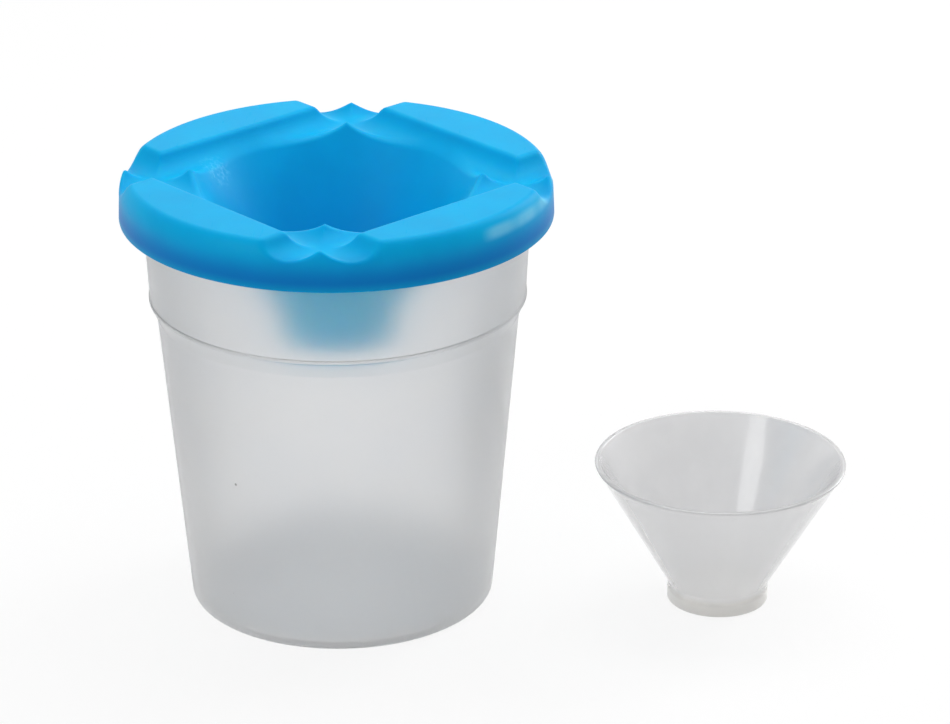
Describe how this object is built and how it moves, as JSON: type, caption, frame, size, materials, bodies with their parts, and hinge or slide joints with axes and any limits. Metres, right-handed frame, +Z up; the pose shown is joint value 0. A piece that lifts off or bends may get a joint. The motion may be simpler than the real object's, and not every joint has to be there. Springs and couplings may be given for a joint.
{
  "type": "paint cup",
  "caption": "Translucent tapered paint cup with a push-on blue lid, brush grooves crossing round a funnel that drips back into the cup, and a loose cone stopper.",
  "frame": {"origin": "centre of the cup's underside, where it stands", "axes": "+Z up along the cup's axis, +X towards the stopper that stands beside the cup, so that the brush grooves run at 45 degrees to X and Y"},
  "size_m": [0.1512, 0.0896, 0.0949],
  "materials": {
    "clear_cup": "natural polypropylene, milky and translucent, satin",
    "blue_lid": "bright blue polypropylene, satin gloss",
    "clear_stopper": "natural polypropylene, thin and glossy, translucent"
  },
  "bodies": {
    "cup": {"cup": "clear_cup"},
    "lid": {"lid": "blue_lid"},
    "stopper": {"stopper": "clear_stopper"}
  },
  "joints": [
    {"name": "lid_lift", "type": "slide", "parent": "cup", "child": "lid", "axis": [0, 0, 1], "range_m": [0, 0.04]},
    {"name": "stopper_lift", "type": "slide", "parent": "cup", "child": "stopper", "axis": [0, 0, 1], "range_m": [0, 0.1]}
  ]
}
